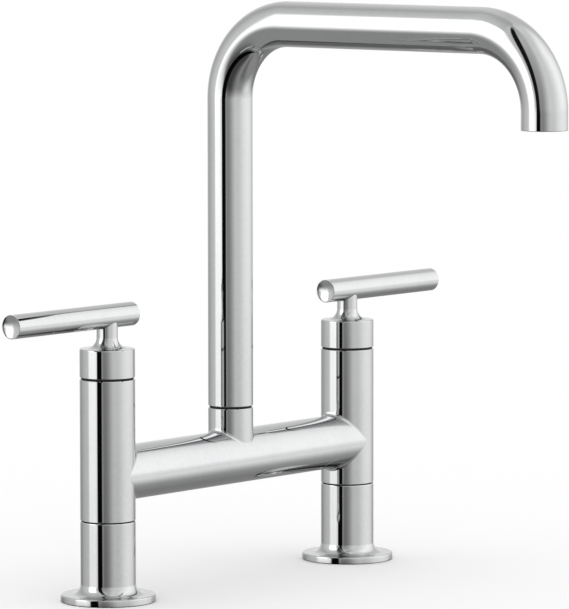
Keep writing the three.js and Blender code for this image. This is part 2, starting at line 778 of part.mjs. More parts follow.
addPiece(faucet, 'bridge_body', bridgeBody(), chrome);
const spoutScrew = grubScrew(spoutScrewDiameter, spigotGrooveRadius + seatGap, spoutRadius - screwSink);
const spoutScrewPlace = { z: retainingGroove, turnX: -Math.PI / 2 };
addPiece(faucet, 'spout_set_screw', moved(spoutScrew, spoutScrewPlace), steel);
addSpout(faucet);

export default faucet;
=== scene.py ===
# %% [markdown]
# # A bridge kitchen faucet in polished chrome
#
# Two valve columns stand on the deck, a bridge tube joins them, and a square-cornered spout
# swivels on the bridge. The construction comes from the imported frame, and this script gives it
# its looks: every visible piece is modelled again with finer roundness, and every piece gets a
# finish made of shader nodes. All lengths are in metres.

import json
import math

import bpy
from mathutils import Matrix, Vector

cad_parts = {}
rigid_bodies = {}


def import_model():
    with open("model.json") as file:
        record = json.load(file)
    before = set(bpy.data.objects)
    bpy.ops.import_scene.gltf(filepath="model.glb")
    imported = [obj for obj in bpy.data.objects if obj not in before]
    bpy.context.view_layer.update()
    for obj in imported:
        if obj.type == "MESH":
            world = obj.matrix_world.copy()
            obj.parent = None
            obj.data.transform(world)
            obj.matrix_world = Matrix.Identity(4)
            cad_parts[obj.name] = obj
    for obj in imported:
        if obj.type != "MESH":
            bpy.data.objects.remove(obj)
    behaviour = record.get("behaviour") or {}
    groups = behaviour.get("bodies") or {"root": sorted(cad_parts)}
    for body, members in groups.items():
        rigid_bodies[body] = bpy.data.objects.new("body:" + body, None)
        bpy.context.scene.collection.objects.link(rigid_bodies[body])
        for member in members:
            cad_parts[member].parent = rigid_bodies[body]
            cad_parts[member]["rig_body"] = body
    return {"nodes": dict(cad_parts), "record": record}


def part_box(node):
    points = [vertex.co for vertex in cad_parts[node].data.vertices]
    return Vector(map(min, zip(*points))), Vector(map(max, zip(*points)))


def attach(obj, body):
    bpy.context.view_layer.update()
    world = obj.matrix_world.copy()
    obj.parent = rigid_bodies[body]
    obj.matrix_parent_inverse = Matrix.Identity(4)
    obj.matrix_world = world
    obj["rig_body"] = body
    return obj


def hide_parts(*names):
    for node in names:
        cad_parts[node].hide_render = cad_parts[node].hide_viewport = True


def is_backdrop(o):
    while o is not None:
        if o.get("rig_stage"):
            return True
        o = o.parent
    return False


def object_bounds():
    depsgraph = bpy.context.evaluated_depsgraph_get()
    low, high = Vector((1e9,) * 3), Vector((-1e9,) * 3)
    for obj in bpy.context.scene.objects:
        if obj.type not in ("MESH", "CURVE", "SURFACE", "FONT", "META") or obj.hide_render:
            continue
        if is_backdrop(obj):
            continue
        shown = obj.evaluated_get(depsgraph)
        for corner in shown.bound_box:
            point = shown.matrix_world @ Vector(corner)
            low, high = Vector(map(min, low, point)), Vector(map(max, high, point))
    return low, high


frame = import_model()
nodes = frame["nodes"]
cad_low, cad_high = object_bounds()
scene = bpy.context.scene
print("CAD nodes:", len(nodes), "from", tuple(cad_low), "to", tuple(cad_high))

# %% [markdown]
# ## The camera
#
# A photograph of a straight-edged object tells where its camera stood. This one stood far off,
# left of the faucet and a little above it, with a long lens, so that parallel edges stay almost
# parallel. The values below come from fitting a camera to edges measured in the photograph. It
# is placed by its position and by three turns: yaw from +Y towards +X, pitch down, and a very
# small roll.

# %% Camera at the photograph's viewing angle
mm = 0.001
camera_place = Vector((-2.1579, -1.8170, 0.4204))
camera_yaw = 0.8814
camera_pitch = 0.0952
camera_roll = -0.0014
camera_lens = 307.14
sensor_height = 36

forward = Vector((
    math.sin(camera_yaw) * math.cos(camera_pitch),
    math.cos(camera_yaw) * math.cos(camera_pitch),
    -math.sin(camera_pitch),
))
level_right = Vector((math.cos(camera_yaw), -math.sin(camera_yaw), 0))
level_up = level_right.cross(forward)
right = math.cos(camera_roll) * level_right + math.sin(camera_roll) * level_up
up = math.cos(camera_roll) * level_up - math.sin(camera_roll) * level_right

camera_data = bpy.data.cameras.new("camera")
camera_data.sensor_fit = "VERTICAL"
camera_data.sensor_height = sensor_height
camera_data.lens = camera_lens
camera = bpy.data.objects.new("camera", camera_data)
scene.collection.objects.link(camera)
camera.matrix_world = Matrix((
    (right.x, up.x, -forward.x, camera_place.x),
    (right.y, up.y, -forward.y, camera_place.y),
    (right.z, up.z, -forward.z, camera_place.z),
    (0, 0, 0, 1),
))
scene.camera = camera
scene.view_settings.view_transform = "Standard"
print("Camera", round(camera_place.length, 2), "m from the deck's middle")

# %% [markdown]
# ## The studio
#
# Chrome has no colour of its own. What is seen on it is the room: a tall softbox on the left, a
# narrow black flag beside it that draws the dark stripe down every tube, a wide glow on the
# right and a grey floor. The room could be built from lamps and boards, but then they would
# stand in the way of other views. Here it is painted on the world by direction: soft-edged
# panels, one over the other, before a white backdrop. Only glossy rays see the panels, and
# where none stands they see the backdrop too. Where the panels are and how bright they are was
# worked back from what the photograph's chrome shows, so they fit its view best.

# %% One soft-edged panel, as a node group
def socket(tree, name, kind, direction="INPUT"):
    return tree.interface.new_socket(name=name, in_out=direction, socket_type=kind)


def node(tree, kind, **settings):
    made = tree.nodes.new(kind)
    for key, value in settings.items():
        setattr(made, key, value)
    return made


def math_node(tree, operation, *inputs):
    made = node(tree, "ShaderNodeMath", operation=operation)
    for place, value in enumerate(inputs):
        connect(tree, value, made.inputs[place])
    return made.outputs[0]


def connect(tree, value, target):
    if isinstance(value, bpy.types.NodeSocket):
        tree.links.new(value, target)
    else:
        target.default_value = value


def soft_step(tree, value, middle, blur, rising=True):
    """0 to 1 as value passes middle, over blur on either side, or 1 to 0 if it isn't rising."""
    step = node(tree, "ShaderNodeMapRange", interpolation_type="SMOOTHSTEP")
    connect(tree, value, step.inputs["Value"])
    connect(tree, math_node(tree, "SUBTRACT", middle, blur), step.inputs["From Min"])
    connect(tree, math_node(tree, "ADD", middle, blur), step.inputs["From Max"])
    step.inputs["To Min"].default_value = 0 if rising else 1
    step.inputs["To Max"].default_value = 1 if rising else 0
    return step.outputs["Result"]


def make_panel_group():
    tree = bpy.data.node_groups.new("Soft-edged studio panel", "ShaderNodeTree")
    names = ("Behind", "Turn", "Height", "Centre", "Lean", "Half width", "Side blur", "Bottom", "Top",
             "End blur", "Brightness")
    for name in names:
        socket(tree, name, "NodeSocketFloat")
    socket(tree, "Brightness", "NodeSocketFloat", "OUTPUT")
    given = node(tree, "NodeGroupInput").outputs
    middle = math_node(tree, "MULTIPLY_ADD", given["Height"], given["Lean"], given["Centre"])
    aside = math_node(tree, "SUBTRACT", given["Turn"], middle)
    aside = math_node(tree, "ABSOLUTE", math_node(tree, "WRAP", aside, 180.0, -180.0))
    mask = soft_step(tree, aside, given["Half width"], given["Side blur"], rising=False)
    above = soft_step(tree, given["Height"], given["Bottom"], given["End blur"])
    below = soft_step(tree, given["Height"], given["Top"], given["End blur"], rising=False)
    mask = math_node(tree, "MULTIPLY", mask, math_node(tree, "MULTIPLY", above, below))
    mix = node(tree, "ShaderNodeMix", data_type="FLOAT")
    connect(tree, mask, mix.inputs["Factor"])
    connect(tree, given["Behind"], mix.inputs["A"])
    connect(tree, given["Brightness"], mix.inputs["B"])
    result = node(tree, "NodeGroupOutput")
    connect(tree, mix.outputs["Result"], result.inputs[0])
    return tree


panel_group = make_panel_group()
print("Panel group inputs:", [item.name for item in panel_group.interface.items_tree])

# %% [markdown]
# Each panel has a turn and a height in degrees as seen from the faucet. Turn 0 is where the
# camera stands, and it grows to the camera's right. Lean is how far a panel's middle turns with
# each degree of height. A panel that is added later covers those before it. A brightness of 1 is
# the backdrop's white. The softbox is brighter, because chrome gives back little more than half.

# %% The studio's panels
full_turn = 200
studio_panels = (
    # name, centre, lean, half width, side blur, bottom, top, end blur, brightness
    ("dim corner on the left", -138, 0, 20, 36, -60, 140, 10, 0.54),
    ("upper wall on the left", -90, 0, 46, 20, 52, 140, 10, 0.84),
    ("wall behind the camera", -20, 0, 28, 20, -60, 140, 20, 0.42),
    ("wall above the camera", -20, 0, 28, 22, 35, 140, 35, 0.72),
    ("wide glow on the right", 98, 0, 30, 32, -60, 66, 20, 1.57),
    ("back wall on the right", 159, 0, 19, 13, -12, 70, 12, 0.80),
    ("ceiling", 0, 0, full_turn, 5, 72, 140, 16, 0.62),
    ("ceiling on the right", 88, 0, 58, 40, 66, 140, 16, 1.02),
    ("strip beside the softbox", -48, 0, 6, 4, -60, 80, 10, 0.86),
    ("foot of the softbox", -68.5, 0, 15, 6, -13, 20, 7, 1.90),
    ("near foot of the softbox", -51, 0, 8, 2.5, -13, -3, 2.5, 2.05),
    ("softbox", -67, -0.05, 13.5, 6, -1.5, 46, 4, 2.5),
    ("far side of the softbox", -75, -0.24, 8, 6, -1.5, 41, 4, 2.5),
    ("floor", 0, 0, full_turn, 5, -120, -11, 12, 0.40),
    ("floor behind", 180, 0, 50, 12, -120, -9, 6, 0.31),
    ("pale patch of the floor behind", -176, 0, 7, 9, -120, -7, 6, 0.48),
    ("floor in the glow", 94, 0, 22, 24, -28, -6, 12, 1.26),
    ("shaded floor", -16, 0, 29, 20, -75, -8, 10, 0.08),
    ("shaded floor below the softbox", -44, 0, 13, 16, -75, -17, 4, 0.12),
    ("shaded floor on the right", 50, 0, 16, 12, -120, -34, 10, 0.23),
    ("dark corner of the floor", -148, 0, 13, 8, -120, -11, 8, 0.17),
    ("black flag", -33.8, 0, 8.6, 2, -20, 80, 8, 0.010),
    ("foot of the flag", -31.8, 0, 9.4, 2, -120, -2, 3, 0.003),
    ("light gap beside the flag", -19.5, 0, 2.5, 1.5, -9, 2, 3, 0.43),
)
backdrop_white = 1
world = bpy.data.worlds.new("studio")
world.use_nodes = True
scene.world = world
tree = world.node_tree
tree.nodes.clear()

direction = node(tree, "ShaderNodeTexCoord").outputs["Generated"]
camera_turn = math.atan2(camera_place.y, camera_place.x)
facing = node(tree, "ShaderNodeVectorRotate", rotation_type="Z_AXIS")
connect(tree, direction, facing.inputs["Vector"])
facing.inputs["Angle"].default_value = -camera_turn
split = node(tree, "ShaderNodeSeparateXYZ")
connect(tree, facing.outputs["Vector"], split.inputs[0])
turn = math_node(tree, "DEGREES", math_node(tree, "ARCTAN2", split.outputs["Y"], split.outputs["X"]))
height = math_node(tree, "DEGREES", math_node(tree, "ARCSINE", split.outputs["Z"]))

brightness = backdrop_white
for name, *numbers in studio_panels:
    panel = node(tree, "ShaderNodeGroup", node_tree=panel_group, label=name)
    for place, value in enumerate((brightness, turn, height, *numbers)):
        connect(tree, value, panel.inputs[place])
    brightness = panel.outputs[0]
print("Studio panels:", len(studio_panels))

# %% [markdown]
# The world's three looks meet here: the white backdrop for the camera and for rays through
# glass, the same backdrop with the studio's panels before it for glossy rays, and an even light
# for everything diffuse. The even light is a little over 1, which makes up for what the pale
# floor swallows, so that the floor meets the backdrop without an edge.

# %% Which ray sees what
floor_white = 0.96
even_light = 1 / floor_white

rays = node(tree, "ShaderNodeLightPath").outputs
studio = node(tree, "ShaderNodeBackground")
connect(tree, brightness, studio.inputs["Color"])
backdrop = node(tree, "ShaderNodeBackground")
backdrop.inputs["Color"].default_value = (1, 1, 1, 1)
backdrop.inputs["Strength"].default_value = backdrop_white
even = node(tree, "ShaderNodeBackground")
even.inputs["Color"].default_value = (1, 1, 1, 1)
even.inputs["Strength"].default_value = even_light

seen = math_node(tree, "MAXIMUM", rays["Is Camera Ray"], rays["Is Transmission Ray"])
glossy_or_even = node(tree, "ShaderNodeMixShader")
connect(tree, rays["Is Glossy Ray"], glossy_or_even.inputs[0])
connect(tree, even.outputs[0], glossy_or_even.inputs[1])
connect(tree, studio.outputs[0], glossy_or_even.inputs[2])
all_rays = node(tree, "ShaderNodeMixShader")
connect(tree, seen, all_rays.inputs[0])
connect(tree, glossy_or_even.outputs[0], all_rays.inputs[1])
connect(tree, backdrop.outputs[0], all_rays.inputs[2])
world_output = node(tree, "ShaderNodeOutputWorld")
connect(tree, all_rays.outputs[0], world_output.inputs["Surface"])

# %% [markdown]
# ## The floor
#
# The deck's top is the plane where the flanges stand. A plain pale floor lies there and keeps
# the faucet's soft shadow. Mirrors see the studio's grey floor instead, so this one is left out
# of glossy rays.

# %% Pale floor with the object's shadow
floor_size = 30
bpy.ops.object.select_all(action="DESELECT")
bpy.ops.mesh.primitive_plane_add(size=floor_size, location=(0, 0, 0))
floor = bpy.context.object
floor.name = "floor"
floor.visible_glossy = False
pale = bpy.data.materials.new("pale floor")
pale.use_nodes = True
pale_shader = pale.node_tree.nodes["Principled BSDF"]
pale_shader.inputs["Base Color"].default_value = (floor_white, floor_white, floor_white, 1)
pale_shader.inputs["Roughness"].default_value = 1
pale_shader.inputs["Specular IOR Level"].default_value = 0
floor.data.materials.append(pale)
floor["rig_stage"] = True

# %% [markdown]
# ## Shared effects
#
# Real finishes vary a little over the surface. Polished chrome keeps faint smudges, and deep in its
# seams and joints its colour is darkened where little light reaches, as painted shade. Turned brass
# and steel keep the lathe's rings, and moulded rubber and plastic have a fine grain. Each effect is
# a node group with named inputs, built once and placed in the materials that use it. The patterns
# read Object coordinates, which are metres here, and the painted shade reads ambient occlusion.

# %% Faint smudges: a soft mask from two sizes of noise
def effect_group(name, inputs, outputs):
    """An empty effect with number inputs and outputs, its input sockets and its output node."""
    tree = bpy.data.node_groups.new(name, "ShaderNodeTree")
    for label, default in inputs:
        socket(tree, label, "NodeSocketFloat").default_value = default
    for label in outputs:
        socket(tree, label, "NodeSocketFloat", "OUTPUT")
    return tree, node(tree, "NodeGroupInput").outputs, node(tree, "NodeGroupOutput")


def noise(tree, coordinates, scale, detail=2.0, roughness=0.5):
    made = node(tree, "ShaderNodeTexNoise")
    connect(tree, coordinates, made.inputs["Vector"])
    connect(tree, scale, made.inputs["Scale"])
    made.inputs["Detail"].default_value = detail
    made.inputs["Roughness"].default_value = roughness
    return made.outputs["Fac"]


def make_smudges():
    tree, given, result = effect_group(
        "Faint smudges", (("Scale", 40.0), ("Low", 0.03), ("High", 0.06)), ("Mask", "Roughness"))
    place = node(tree, "ShaderNodeTexCoord").outputs["Object"]
    wide = noise(tree, place, given["Scale"], detail=3.0)
    fine = noise(tree, place, math_node(tree, "MULTIPLY", given["Scale"], 9.0), detail=4.0)
    both = math_node(tree, "MULTIPLY", wide, fine)
    mask = soft_step(tree, both, 0.27, 0.10)
    spread = math_node(tree, "SUBTRACT", given["High"], given["Low"])
    roughness = math_node(tree, "MULTIPLY_ADD", mask, spread, given["Low"])
    connect(tree, mask, result.inputs["Mask"])
    connect(tree, roughness, result.inputs["Roughness"])
    return tree


smudges = make_smudges()

# %% Painted crevice shade: an ambient occlusion mask that is 1 in the open and falls to 0 deep inside a seam, where the chrome's colour is darkened as painted shade
def make_painted_crevice_shade():
    tree, given, result = effect_group("Painted crevice shade", (("Width", 0.001), ("Depth", 0.5)), ("Unshaded",))
    open_share = node(tree, "ShaderNodeAmbientOcclusion", samples=12)
    connect(tree, given["Width"], open_share.inputs["Distance"])
    connect(tree, soft_step(tree, open_share.outputs["AO"], given["Depth"], 0.25), result.inputs["Unshaded"])
    return tree


painted_crevice_shade = make_painted_crevice_shade()

# %% Lathe rings: noise that only changes along the work and outwards from its axis
def make_lathe_rings():
    tree, given, result = effect_group(
        "Lathe rings", (("Axis X", 0.0), ("Axis Y", 0.0), ("Rings per metre", 4000.0)),
        ("Height", "Mask"))
    place = node(tree, "ShaderNodeSeparateXYZ")
    connect(tree, node(tree, "ShaderNodeTexCoord").outputs["Object"], place.inputs[0])
    aside = math_node(tree, "SUBTRACT", math_node(tree, "ABSOLUTE", place.outputs["X"]), given["Axis X"])
    ahead = math_node(tree, "SUBTRACT", place.outputs["Y"], given["Axis Y"])
    ahead_squared = math_node(tree, "MULTIPLY", ahead, ahead)
    radius = math_node(tree, "SQRT", math_node(tree, "MULTIPLY_ADD", aside, aside, ahead_squared))
    ring_place = node(tree, "ShaderNodeCombineXYZ")
    connect(tree, radius, ring_place.inputs["X"])
    connect(tree, place.outputs["Z"], ring_place.inputs["Y"])
    rings = noise(tree, ring_place.outputs[0], given["Rings per metre"], detail=2.0, roughness=0.6)
    bands = noise(tree, ring_place.outputs[0], math_node(tree, "MULTIPLY", given["Rings per metre"], 0.08))
    connect(tree, rings, result.inputs["Height"])
    connect(tree, bands, result.inputs["Mask"])
    return tree


lathe_rings = make_lathe_rings()

# %% Moulded grain: a fine pebble from a cell pattern
def make_grain():
    tree, given, result = effect_group(
        "Moulded grain", (("Cells per metre", 3000.0), ("Bloom scale", 60.0)), ("Height", "Bloom"))
    place = node(tree, "ShaderNodeTexCoord").outputs["Object"]
    cells = node(tree, "ShaderNodeTexVoronoi", feature="SMOOTH_F1")
    connect(tree, place, cells.inputs["Vector"])
    connect(tree, given["Cells per metre"], cells.inputs["Scale"])
    connect(tree, cells.outputs["Distance"], result.inputs["Height"])
    connect(tree, noise(tree, place, given["Bloom scale"], detail=4.0), result.inputs["Bloom"])
    return tree


grain = make_grain()
print("Effects:", [effect.name for effect in (smudges, painted_crevice_shade, lathe_rings, grain)])

# %% [markdown]
# ## The finishes
#
# A finish is one Principled shader whose even numbers sit on its own sockets. What changes over
# the surface comes from the effects: roughness, a tint between two colours, and a bump that is
# only microns high.

# %% A bare material and the links that every finish needs
def new_finish(name, metallic, **sockets):
    material = bpy.data.materials.new(name)
    material.use_nodes = True
    shader = material.node_tree.nodes["Principled BSDF"]
    shader.inputs["Metallic"].default_value = metallic
    for label, value in sockets.items():
        shader.inputs[label.replace("_", " ")].default_value = value
    return material, material.node_tree, shader


def place_effect(tree, group, **values):
    made = node(tree, "ShaderNodeGroup", node_tree=group)
    for label, value in values.items():
        made.inputs[label.replace("_", " ")].default_value = value
    return made.outputs


def between(tree, factor, low, high):
    ramp = node(tree, "ShaderNodeMapRange")
    connect(tree, factor, ramp.inputs["Value"])
    ramp.inputs["To Min"].default_value = low
    ramp.inputs["To Max"].default_value = high
    return ramp.outputs["Result"]


def tint(tree, factor, first, second):
    mix = node(tree, "ShaderNodeMix", data_type="RGBA")
    connect(tree, factor, mix.inputs["Factor"])
    for colour, target in ((first, mix.inputs[6]), (second, mix.inputs[7])):
        connect(tree, colour if isinstance(colour, bpy.types.NodeSocket) else (*colour, 1), target)
    return mix.outputs[2]


def bump(tree, height, depth, shader):
    made = node(tree, "ShaderNodeBump")
    made.inputs["Strength"].default_value = 1
    made.inputs["Distance"].default_value = depth
    connect(tree, height, made.inputs["Height"])
    connect(tree, made.outputs["Normal"], shader.inputs["Normal"])


# %% Polished chrome: a mirror with faint smudges, and painted shade deep in its seams
def polished_chrome():
    material, tree, shader = new_finish("polished chrome plate", 1)
    film = place_effect(tree, smudges, Scale=45.0, Low=0.035, High=0.06)
    painted_seam_shade = place_effect(tree, painted_crevice_shade, Width=0.002, Depth=0.52)
    plate = tint(tree, film["Mask"], (0.560, 0.563, 0.566), (0.540, 0.544, 0.548))
    # Where the occlusion mask is low, the colour falls to near black: painted shade in seams and joints.
    connect(tree, tint(tree, painted_seam_shade["Unshaded"], (0.02, 0.02, 0.02), plate), shader.inputs["Base Color"])
    connect(tree, film["Roughness"], shader.inputs["Roughness"])
    return material


# %% Turned brass and satin steel: lathe rings round the valves' axes or the spout's
def turned_metal(name, first, second, roughness_low, roughness_high, axis_x=0.0, axis_y=0.0):
    material, tree, shader = new_finish(name, 1)
    rings = place_effect(tree, lathe_rings, Axis_X=axis_x, Axis_Y=axis_y)
    connect(tree, tint(tree, rings["Mask"], first, second), shader.inputs["Base Color"])
    connect(tree, between(tree, rings["Height"], roughness_low, roughness_high), shader.inputs["Roughness"])
    bump(tree, rings["Height"], 2e-6, shader)
    return material


# %% Rubber, moulded plastic and lapped ceramic: grain and bloom
def moulded(name, first, second, roughness_low, roughness_high, depth, cells, **sockets):
    material, tree, shader = new_finish(name, 0, **sockets)
    skin = place_effect(tree, grain, Cells_per_metre=cells)
    connect(tree, tint(tree, skin["Bloom"], first, second), shader.inputs["Base Color"])
    connect(tree, between(tree, skin["Bloom"], roughness_low, roughness_high), shader.inputs["Roughness"])
    bump(tree, skin["Height"], depth, shader)
    return material


valve_axis = -(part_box("left_deck_base")[0].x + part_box("left_deck_base")[1].x) / 2
outlet_low, outlet_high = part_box("aerator_screen")
outlet_axis = (outlet_low.y + outlet_high.y) / 2
brass_tints = ((0.74, 0.55, 0.27), (0.66, 0.47, 0.21))
steel_tints = ((0.66, 0.67, 0.68), (0.56, 0.57, 0.58))
chrome = polished_chrome()
valve_brass = turned_metal("turned brass", *brass_tints, 0.20, 0.36, axis_x=valve_axis)
spout_brass = turned_metal("turned brass of the spout", *brass_tints, 0.20, 0.36)
valve_steel = turned_metal("satin steel", *steel_tints, 0.26, 0.42, axis_x=valve_axis)
spout_steel = turned_metal("satin steel of the spout", *steel_tints, 0.26, 0.42, axis_y=outlet_axis)
rubber = moulded("black rubber", (0.022, 0.022, 0.023), (0.040, 0.040, 0.041), 0.62, 0.85, 8e-6, 3500.0)
acetal = moulded("dark moulded acetal", (0.012, 0.012, 0.013), (0.024, 0.024, 0.026), 0.46, 0.62,
                 4e-6, 5000.0, Specular_IOR_Level=0.2)
ceramic = moulded("lapped ceramic", (0.86, 0.84, 0.79), (0.91, 0.89, 0.85), 0.18, 0.32, 1e-6, 9000.0)
print("Finishes:", [m.name for m in bpy.data.materials if m.use_nodes])

# %% [markdown]
# ## Sizes from the frame
#
# The CAD nodes' boxes give most sizes. Roundings and walls that a box doesn't show are named
# here, as real sizes.

# %% Levels and radii
base_low, base_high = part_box("left_deck_base")
body_low, body_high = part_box("bridge_body")
hub_low, hub_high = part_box("left_handle_hub")
bar_low, bar_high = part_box("right_handle_bar")
shank_low, shank_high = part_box("left_mounting_shank")

flange_radius = (base_high.x - base_low.x) / 2
base_top = base_high.z
body_bottom = body_low.z
body_top = body_high.z
column_radius = (hub_high.x - hub_low.x) / 2
hub_bottom = hub_low.z
bar_radius = (bar_high.y - bar_low.y) / 2
bar_axis = (bar_low.z + bar_high.z) / 2
spout_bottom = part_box("spout_tube")[0].z
shank_radius = (shank_high.x - shank_low.x) / 2

flange_thickness = 3.9 * mm
flange_fillet = 5.5 * mm
flange_edge = 0.8 * mm
seam_edge = 0.4 * mm
joint_edge = 0.65 * mm
shoulder_edge = 0.7 * mm
shank_clearance = 0.7 * mm
shank_hole = shank_radius + shank_clearance
gasket_low, gasket_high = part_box("left_flange_gasket")
gasket_gap = 0.3 * mm
gasket_outer = (gasket_high.x - gasket_low.x) / 2
gasket_width = 7.0 * mm
gasket_inner = gasket_outer - gasket_width
print("Columns", 2 * column_radius, "m across,", 2 * valve_axis, "m apart")

# %% [markdown]
# ## Turned pieces
#
# Most of a faucet comes off a lathe, so most pieces are made the way a lathe makes them. Half of
# the section is drawn corner by corner: one vertex is extruded along the outline, the corners
# that are round on the real piece are bevelled with their radius, and the outline is spun round
# the axis. A cylinder primitive with bevelled edges could do for a plain rod, but an outline
# also holds fillets, recesses and bores, and its corners stay easy to read.

# %% Drawing an outline and spinning it
up_axis = Vector((0, 0, 1))
right_axis = Vector((1, 0, 0))
back_axis = Vector((0, 1, 0))
merge_distance = 1e-7
same_place = 1e-6
longest_facet = 0.18 * mm
fewest_facets = 3
most_facets = 24
sharp_angle = math.radians(35)
fine_sides = 192
coarse_sides = 96
hole_sides = 48


def make_active(piece):
    """Selects this piece alone, so that the next operator acts on nothing else."""
    bpy.ops.object.select_all(action="DESELECT")
    piece.select_set(True)
    bpy.context.view_layer.objects.active = piece


def clean_mesh():
    """In edit mode, merges what lies together, turns all faces outwards and leaves edit mode."""
    bpy.ops.mesh.select_all(action="SELECT")
    bpy.ops.mesh.remove_doubles(threshold=merge_distance)
    bpy.ops.mesh.normals_make_consistent(inside=False)
    bpy.ops.object.mode_set(mode="OBJECT")


def select_places(mesh, places):
    """Selects the vertices that lie at any of the places. Used in object mode."""
    for vertex in mesh.vertices:
        vertex.select = any((vertex.co - place).length < same_place for place in places)


def apply_place(piece):
    """Moves the object's place into its mesh, so that the object sits at the origin."""
    piece.data.transform(piece.matrix_world)
    piece.matrix_world = Matrix.Identity(4)


def rounding_steps(radius):
    return max(fewest_facets, min(most_facets, round(radius / longest_facet)))


def draw_outline(name, places, closed):
    bpy.ops.object.select_all(action="DESELECT")
    bpy.ops.mesh.primitive_plane_add(size=mm, location=places[0])
    piece = bpy.context.object
    piece.name = name
    bpy.ops.object.mode_set(mode="EDIT")
    bpy.ops.mesh.select_mode(type="VERT")
    bpy.ops.mesh.select_all(action="SELECT")
    bpy.ops.mesh.merge(type="CENTER")
    ends = places[1:] + places[:1] if closed else places[1:]
    for before, after in zip(places, ends):
        bpy.ops.mesh.extrude_vertices_move(TRANSFORM_OT_translate={"value": after - before})
    bpy.ops.mesh.select_all(action="SELECT")
    bpy.ops.mesh.remove_doubles(threshold=merge_distance)
    bpy.ops.object.mode_set(mode="OBJECT")
    apply_place(piece)
    return piece


def round_corners(piece, places, radius, steps):
    bpy.ops.object.mode_set(mode="EDIT")
    bpy.ops.mesh.select_all(action="DESELECT")
    bpy.ops.object.mode_set(mode="OBJECT")
    select_places(piece.data, places)
    bpy.ops.object.mode_set(mode="EDIT")
    bpy.ops.mesh.bevel(affect="VERTICES", offset=radius, segments=steps, clamp_overlap=False)
    bpy.ops.object.mode_set(mode="OBJECT")


def spun(name, corners, origin=Vector(), along=up_axis, out=right_axis, sides=fine_sides):
    """A turned piece. Each corner is (radius, height) or (radius, height, rounding)."""
    places = [origin + out * radius + along * height for radius, height, *_ in corners]
    closed = corners[0][0] > 0 or corners[-1][0] > 0
    piece = draw_outline(name, places, closed)
    for radius in sorted({corner[2] for corner in corners if len(corner) > 2}):
        rounded = [place for place, corner in zip(places, corners) if corner[2:] == (radius,)]
        round_corners(piece, rounded, radius, rounding_steps(radius))
    bpy.ops.object.mode_set(mode="EDIT")
    bpy.ops.mesh.select_all(action="SELECT")
    bpy.ops.mesh.spin(steps=sides, angle=2 * math.pi, center=origin, axis=along, use_auto_merge=True)
    clean_mesh()
    return piece


def rod(name, radius, start, end, **place):
    return spun(name, ((0, start), (radius, start), (radius, end), (0, end)), **place)


def ring(name, inner, outer, bottom, top, edge, origin):
    corners = ((inner, bottom, edge), (outer, bottom, edge), (outer, top, edge), (inner, top, edge))
    return spun(name, corners, origin=origin, sides=coarse_sides)


# %% Finishing: smooth shading with crisp edges, then the piece joins its body
def use_modifier(piece, kind, **settings):
    make_active(piece)
    modifier = piece.modifiers.new(kind.lower(), kind)
    for key, value in settings.items():
        setattr(modifier, key, value)
    bpy.ops.object.modifier_apply(modifier=modifier.name)


def shade(piece):
    make_active(piece)
    bpy.ops.object.shade_smooth_by_angle(angle=sharp_angle)
    use_modifier(piece, "WEIGHTED_NORMAL", keep_sharp=True, mode="FACE_AREA")


def finish_piece(piece, material, slot, body, *replaced):
    piece.data.materials.clear()
    piece.data.materials.append(material)
    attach(piece, body)
    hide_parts(*replaced)
    print(piece.name, "has", len(piece.data.polygons), "faces")


def valve_origin(side):
    return Vector((side * valve_axis, 0, 0))


sides_of_faucet = (("left", -1), ("right", 1))

# %% [markdown]
# ## Deck bases
#
# Each column stands on a round flange. Flange and lower column are one turned piece: a flat
# flange with a softly rounded rim, a fillet that sweeps up into the column, and a tiny rounding
# at the top that makes the hairline seam catch the light. Underneath, a recess holds the gasket.

# %% Flange and lower column
for side_name, side in sides_of_faucet:
    base = spun(f"{side_name}_flange_and_column", (
        (shank_hole, 0),
        (gasket_inner - gasket_gap, 0),
        (gasket_inner - gasket_gap, gasket_high.z + gasket_gap),
        (gasket_outer + gasket_gap, gasket_high.z + gasket_gap),
        (gasket_outer + gasket_gap, 0),
        (flange_radius, 0, flange_edge / 2),
        (flange_radius, flange_thickness, flange_edge),
        (column_radius, flange_thickness, flange_fillet),
        (column_radius, base_top, joint_edge),
        (shank_hole, base_top),
    ), origin=valve_origin(side))
    shade(base)
    finish_piece(base, chrome, "chrome", "base", f"{side_name}_deck_base")

# %% [markdown]
# ## The brazed bridge body
#
# Two valve bodies, the bridge tube and the spout's socket are brazed into one body, and the
# joints are dressed to a small round fillet. The tubes could be joined and the edge between them
# bevelled, but bridge and columns are almost equally thick: at the sides the two surfaces meet
# at no angle at all, and a bevel has nothing to hold on to. So the fillet is made the way a ball
# nose cutter makes it. A ball rolls round the corner and touches both tubes, and the fillet is
# the band between its two lines of contact. Boolean modifiers then join all the solids.

# %% The fillet band that a rolling ball leaves
tee_fillet = 2.0 * mm
sunk = 0.5 * mm
fillet_steps = 12
bridge_step = 0.05 * mm
bridge_lift = 9.4 * mm
spout_seam = 1.0 * mm
bridge_radius = column_radius - bridge_step
bridge_axis = body_bottom + bridge_lift + bridge_radius
socket_top = spout_bottom - spout_seam
spout_radius = 12.3 * mm


def rolling_ball(turn, branch_radius, main_radius):
    """Where the ball's centre is, and its directions away from the main tube and the branch."""
    outward = Vector((math.cos(turn), math.sin(turn), 0))
    ball = outward * (branch_radius + tee_fillet)
    ball.z = math.sqrt((main_radius + tee_fillet) ** 2 - ball.y ** 2)
    main_normal = Vector((0, ball.y, ball.z)).normalized()
    return ball, main_normal, outward


